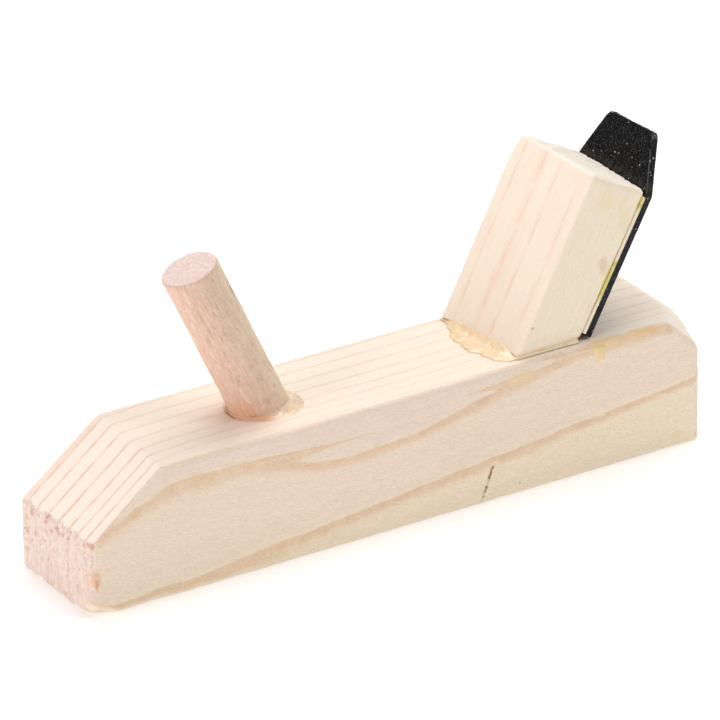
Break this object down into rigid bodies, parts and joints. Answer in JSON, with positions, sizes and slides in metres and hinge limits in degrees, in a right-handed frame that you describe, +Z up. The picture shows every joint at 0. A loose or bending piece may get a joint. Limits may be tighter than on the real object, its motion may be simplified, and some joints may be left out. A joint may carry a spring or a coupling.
{
  "type": "decorative hand plane",
  "caption": "Miniature wooden hand plane: a square body with a sloped nose, a leaning dowel knob, and a slanted wedge block backed by a thin black iron.",
  "frame": {"origin": "centre of the sole, the flat underside that the plane rests on", "axes": "+X from the nose to the heel along the body, +Y across the body, +Z up from the sole"},
  "size_m": [0.06, 0.012, 0.0283],
  "materials": {
    "body_wood": "bare sawn and sanded softwood with fine pinkish growth rings",
    "knob_wood": "bare beech dowel with short brown flecks",
    "wedge_wood": "bare softwood with soft pink stripes",
    "iron": "black, dusty and finely scratched",
    "clear_glue": "set clear glue, glossy",
    "amber_glue": "set amber glue, glossy",
    "yellow_glue": "set yellow glue film",
    "drip_glue": "dried yellowish run, satin"
  },
  "bodies": {
    "root": {"body_block": "body_wood", "front_knob": "knob_wood", "wedge_block": "wedge_wood", "plane_iron": "iron", "knob_glue": "clear_glue", "wedge_glue": "amber_glue", "iron_glue": "yellow_glue", "glue_drip": "drip_glue"}
  },
  "joints": []
}
